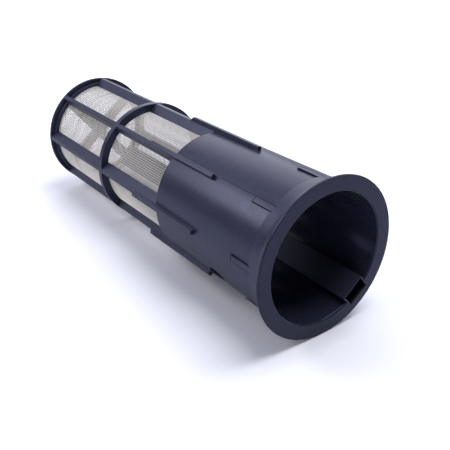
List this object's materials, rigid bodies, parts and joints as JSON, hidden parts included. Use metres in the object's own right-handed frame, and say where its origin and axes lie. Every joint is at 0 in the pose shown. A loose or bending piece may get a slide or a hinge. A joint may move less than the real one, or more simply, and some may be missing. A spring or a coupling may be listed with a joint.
{
  "type": "fuel strainer",
  "caption": "Tubular plastic strainer for a fuel filler: flared flange, ribbed cage lined with woven mesh, closed end, channel on the inner wall.",
  "frame": {"origin": "centre of the closed end's outer face", "axes": "+Z along the axis to the mouth, +X to the front rib, opposite the channel"},
  "size_m": [0.09, 0.09, 0.2434],
  "materials": {
    "strainer_body": "satin",
    "side_mesh": "woven",
    "bottom_mesh": "woven"
  },
  "bodies": {
    "root": {"strainer_body": "strainer_body", "side_mesh": "side_mesh", "bottom_mesh": "bottom_mesh"}
  },
  "joints": []
}
